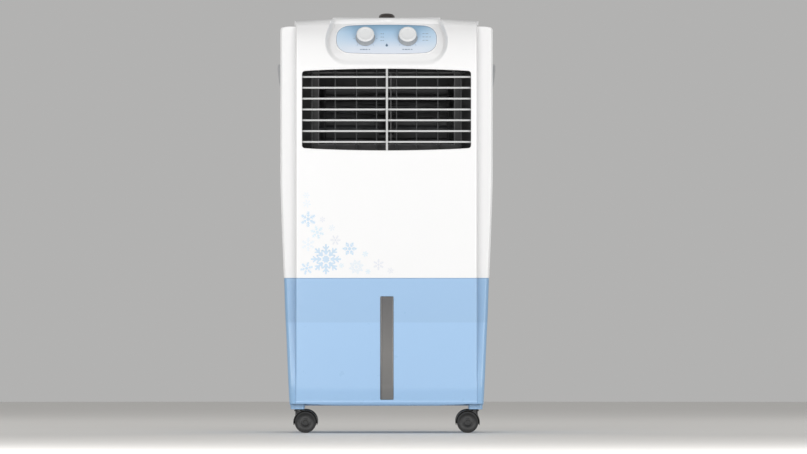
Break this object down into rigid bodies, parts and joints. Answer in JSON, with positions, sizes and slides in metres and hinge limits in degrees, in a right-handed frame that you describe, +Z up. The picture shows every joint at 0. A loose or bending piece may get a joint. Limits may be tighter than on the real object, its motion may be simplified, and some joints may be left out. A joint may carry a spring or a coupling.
{
  "type": "evaporative air cooler",
  "caption": "Tower evaporative air cooler on castors, with a louvred front outlet, a tilted two-knob console, a top ice lid and a blue water tank with a level window.",
  "frame": {"origin": "on the floor, under the middle of the cooler's outline", "axes": "+X to the cooler's right seen from the front, +Y to the back (air leaves towards -Y), +Z up"},
  "size_m": [0.404, 0.35, 0.777],
  "materials": {
    "white_shell": "glossy white moulded plastic",
    "blue_shell": "glossy light blue moulded plastic",
    "panel_film": "printed satin film fading from sky blue to pale",
    "knob_plastic": "satin off-white",
    "smoke_window": "smoked clear plastic",
    "slat_plastic": "satin light grey",
    "black_plastic": "matt black",
    "dark_plastic": "matt dark grey",
    "grey_plastic": "matt mid grey",
    "castor_plastic": "glossy black nylon",
    "tread": "dark grey tread",
    "grip_plastic": "matt dark brown-grey",
    "steel": "bright steel",
    "zinc": "zinc-plated sheet",
    "motor_paint": "dark grey enamel",
    "honeycomb": "brown corrugated cellulose",
    "hose": "translucent white",
    "net": "black woven net in a thin frame"
  },
  "bodies": {
    "body": {"front_cover": "white_shell", "upper_housing": "white_shell", "water_tank": "blue_shell", "water_window": "smoke_window", "control_panel": "panel_film", "speed_switch": "black_plastic", "mode_switch": "black_plastic", "ice_tray": "white_shell", "side_grip_left": "grey_plastic", "side_grip_right": "grey_plastic", "outlet_frame": "dark_plastic", "centre_bar": "slat_plastic", "swing_motor": "zinc", "blower_scroll": "dark_plastic", "fan_motor": "motor_paint", "motor_bracket": "zinc", "bearing_bracket": "zinc", "water_pump": "black_plastic", "water_hose": "hose", "water_distributor": "white_shell", "cooling_pad": "honeycomb", "dust_filter": "net", "rear_grille": "white_shell", "grille_screw_left": "steel", "grille_screw_right": "steel", "cord_gland": "black_plastic"},
    "speed_knob": {"speed_knob": "knob_plastic"},
    "mode_knob": {"mode_knob": "knob_plastic"},
    "ice_lid": {"ice_lid": "white_shell", "lid_grip": "grip_plastic"},
    "louvre_tie_bar": {"louvre_tie_bar": "dark_plastic"},
    "vane_link_bar": {"vane_link_bar": "dark_plastic"},
    "swing_crank": {"swing_crank": "white_shell"},
    "blower_rotor": {"blower_wheel": "black_plastic", "fan_shaft": "steel"},
    "fill_door": {"fill_door": "blue_shell"},
    "drain_plug": {"drain_plug": "white_shell"},
    "louvre_1": {"louvre_1": "slat_plastic"},
    "louvre_2": {"louvre_2": "slat_plastic"},
    "louvre_3": {"louvre_3": "slat_plastic"},
    "louvre_4": {"louvre_4": "slat_plastic"},
    "louvre_5": {"louvre_5": "slat_plastic"},
    "louvre_6": {"louvre_6": "slat_plastic"},
    "louvre_7": {"louvre_7": "slat_plastic"},
    "vane_1": {"vane_1": "black_plastic"},
    "vane_2": {"vane_2": "black_plastic"},
    "vane_3": {"vane_3": "black_plastic"},
    "vane_4": {"vane_4": "black_plastic"},
    "vane_5": {"vane_5": "black_plastic"},
    "vane_6": {"vane_6": "black_plastic"},
    "vane_7": {"vane_7": "black_plastic"},
    "vane_8": {"vane_8": "black_plastic"},
    "castor_front_left": {"castor_fork_front_left": "castor_plastic"},
    "wheels_front_left": {"castor_wheels_front_left": "tread"},
    "castor_front_right": {"castor_fork_front_right": "castor_plastic"},
    "wheels_front_right": {"castor_wheels_front_right": "tread"},
    "castor_rear_left": {"castor_fork_rear_left": "castor_plastic"},
    "wheels_rear_left": {"castor_wheels_rear_left": "tread"},
    "castor_rear_right": {"castor_fork_rear_right": "castor_plastic"},
    "wheels_rear_right": {"castor_wheels_rear_right": "tread"}
  },
  "joints": [
    {"name": "speed_knob_turn", "type": "hinge", "parent": "body", "child": "speed_knob", "pos_m": [-0.0392, -0.14811, 0.72986], "axis": [0, 0.829, -0.5592], "range_deg": [0, 270]},
    {"name": "mode_knob_turn", "type": "hinge", "parent": "body", "child": "mode_knob", "pos_m": [0.0392, -0.14811, 0.72986], "axis": [0, 0.829, -0.5592], "range_deg": [0, 270]},
    {"name": "lid_hinge", "type": "hinge", "parent": "body", "child": "ice_lid", "pos_m": [0, 0.057, 0.769], "axis": [-1, 0, 0], "range_deg": [0, 100]},
    {"name": "louvre_1_tilt", "type": "hinge", "parent": "body", "child": "louvre_1", "pos_m": [0, -0.16, 0.6588], "axis": [1, 0, 0], "range_deg": [-30, 30]},
    {"name": "louvre_2_tilt", "type": "hinge", "parent": "body", "child": "louvre_2", "pos_m": [0, -0.16, 0.6387], "axis": [1, 0, 0], "range_deg": [-30, 30]},
    {"name": "louvre_3_tilt", "type": "hinge", "parent": "body", "child": "louvre_3", "pos_m": [0, -0.16, 0.6186], "axis": [1, 0, 0], "range_deg": [-30, 30]},
    {"name": "louvre_4_tilt", "type": "hinge", "parent": "body", "child": "louvre_4", "pos_m": [0, -0.16, 0.5986], "axis": [1, 0, 0], "range_deg": [-30, 30]},
    {"name": "louvre_5_tilt", "type": "hinge", "parent": "body", "child": "louvre_5", "pos_m": [0, -0.16, 0.5786], "axis": [1, 0, 0], "range_deg": [-30, 30]},
    {"name": "louvre_6_tilt", "type": "hinge", "parent": "body", "child": "louvre_6", "pos_m": [0, -0.16, 0.5586], "axis": [1, 0, 0], "range_deg": [-30, 30]},
    {"name": "louvre_7_tilt", "type": "hinge", "parent": "body", "child": "louvre_7", "pos_m": [0, -0.16, 0.5385], "axis": [1, 0, 0], "range_deg": [-30, 30]},
    {"name": "louvre_tie_slide", "type": "slide", "parent": "body", "child": "louvre_tie_bar", "axis": [0, 0, 1], "range_m": [-0.00356, 0.00356]},
    {"name": "vane_1_swing", "type": "hinge", "parent": "body", "child": "vane_1", "pos_m": [-0.138, -0.122, 0.6], "axis": [0, 0, 1], "range_deg": [-30, 30]},
    {"name": "vane_2_swing", "type": "hinge", "parent": "body", "child": "vane_2", "pos_m": [-0.095, -0.122, 0.6], "axis": [0, 0, 1], "range_deg": [-30, 30]},
    {"name": "vane_3_swing", "type": "hinge", "parent": "body", "child": "vane_3", "pos_m": [-0.0555, -0.122, 0.6], "axis": [0, 0, 1], "range_deg": [-30, 30]},
    {"name": "vane_4_swing", "type": "hinge", "parent": "body", "child": "vane_4", "pos_m": [-0.0185, -0.122, 0.6], "axis": [0, 0, 1], "range_deg": [-30, 30]},
    {"name": "vane_5_swing", "type": "hinge", "parent": "body", "child": "vane_5", "pos_m": [0.0185, -0.122, 0.6], "axis": [0, 0, 1], "range_deg": [-30, 30]},
    {"name": "vane_6_swing", "type": "hinge", "parent": "body", "child": "vane_6", "pos_m": [0.0555, -0.122, 0.6], "axis": [0, 0, 1], "range_deg": [-30, 30]},
    {"name": "vane_7_swing", "type": "hinge", "parent": "body", "child": "vane_7", "pos_m": [0.095, -0.122, 0.6], "axis": [0, 0, 1], "range_deg": [-30, 30]},
    {"name": "vane_8_swing", "type": "hinge", "parent": "body", "child": "vane_8", "pos_m": [0.138, -0.122, 0.6], "axis": [0, 0, 1], "range_deg": [-30, 30]},
    {"name": "vane_link_slide", "type": "slide", "parent": "body", "child": "vane_link_bar", "axis": [1, 0, 0], "range_m": [-0.0081, 0.0081]},
    {"name": "swing_crank_turn", "type": "hinge", "parent": "body", "child": "swing_crank", "pos_m": [0.118, -0.107, 0.68], "axis": [0, 0, 1], "continuous": true},
    {"name": "blower_spin", "type": "hinge", "parent": "body", "child": "blower_rotor", "pos_m": [0, -0.008, 0.564], "axis": [1, 0, 0], "continuous": true},
    {"name": "fill_door_hinge", "type": "hinge", "parent": "body", "child": "fill_door", "pos_m": [0, 0.16187, 0.2276], "axis": [-1, 0, 0], "range_deg": [0, 45]},
    {"name": "drain_plug_draw", "type": "slide", "parent": "body", "child": "drain_plug", "axis": [0, 1, 0], "range_m": [0, 0.014]},
    {"name": "castor_front_left_swivel", "type": "hinge", "parent": "body", "child": "castor_front_left", "pos_m": [-0.163, -0.13, 0.05], "axis": [0, 0, 1], "continuous": true},
    {"name": "wheels_front_left_roll", "type": "hinge", "parent": "castor_front_left", "child": "wheels_front_left", "pos_m": [-0.1502, -0.13, 0.01983], "axis": [0, 1, 0], "continuous": true},
    {"name": "castor_front_right_swivel", "type": "hinge", "parent": "body", "child": "castor_front_right", "pos_m": [0.163, -0.13, 0.05], "axis": [0, 0, 1], "continuous": true},
    {"name": "wheels_front_right_roll", "type": "hinge", "parent": "castor_front_right", "child": "wheels_front_right", "pos_m": [0.1502, -0.13, 0.01983], "axis": [0, 1, 0], "continuous": true},
    {"name": "castor_rear_left_swivel", "type": "hinge", "parent": "body", "child": "castor_rear_left", "pos_m": [-0.163, 0.13, 0.05], "axis": [0, 0, 1], "continuous": true},
    {"name": "wheels_rear_left_roll", "type": "hinge", "parent": "castor_rear_left", "child": "wheels_rear_left", "pos_m": [-0.1502, 0.13, 0.01983], "axis": [0, 1, 0], "continuous": true},
    {"name": "castor_rear_right_swivel", "type": "hinge", "parent": "body", "child": "castor_rear_right", "pos_m": [0.163, 0.13, 0.05], "axis": [0, 0, 1], "continuous": true},
    {"name": "wheels_rear_right_roll", "type": "hinge", "parent": "castor_rear_right", "child": "wheels_rear_right", "pos_m": [0.1502, 0.13, 0.01983], "axis": [0, 1, 0], "continuous": true}
  ],
  "couplings": [
    {"joint": "louvre_1_tilt", "follows": "louvre_tie_slide", "rad_per_m": 147.05},
    {"joint": "louvre_2_tilt", "follows": "louvre_tie_slide", "rad_per_m": 147.05},
    {"joint": "louvre_3_tilt", "follows": "louvre_tie_slide", "rad_per_m": 147.05},
    {"joint": "louvre_4_tilt", "follows": "louvre_tie_slide", "rad_per_m": 147.05},
    {"joint": "louvre_5_tilt", "follows": "louvre_tie_slide", "rad_per_m": 147.05},
    {"joint": "louvre_6_tilt", "follows": "louvre_tie_slide", "rad_per_m": 147.05},
    {"joint": "louvre_7_tilt", "follows": "louvre_tie_slide", "rad_per_m": 147.05},
    {"joint": "vane_2_swing", "follows": "vane_1_swing", "ratio": 1},
    {"joint": "vane_3_swing", "follows": "vane_1_swing", "ratio": 1},
    {"joint": "vane_4_swing", "follows": "vane_1_swing", "ratio": 1},
    {"joint": "vane_5_swing", "follows": "vane_1_swing", "ratio": 1},
    {"joint": "vane_6_swing", "follows": "vane_1_swing", "ratio": 1},
    {"joint": "vane_7_swing", "follows": "vane_1_swing", "ratio": 1},
    {"joint": "vane_8_swing", "follows": "vane_1_swing", "ratio": 1},
    {"joint": "vane_link_slide", "follows": "vane_1_swing", "m_per_rad": -0.015}
  ]
}
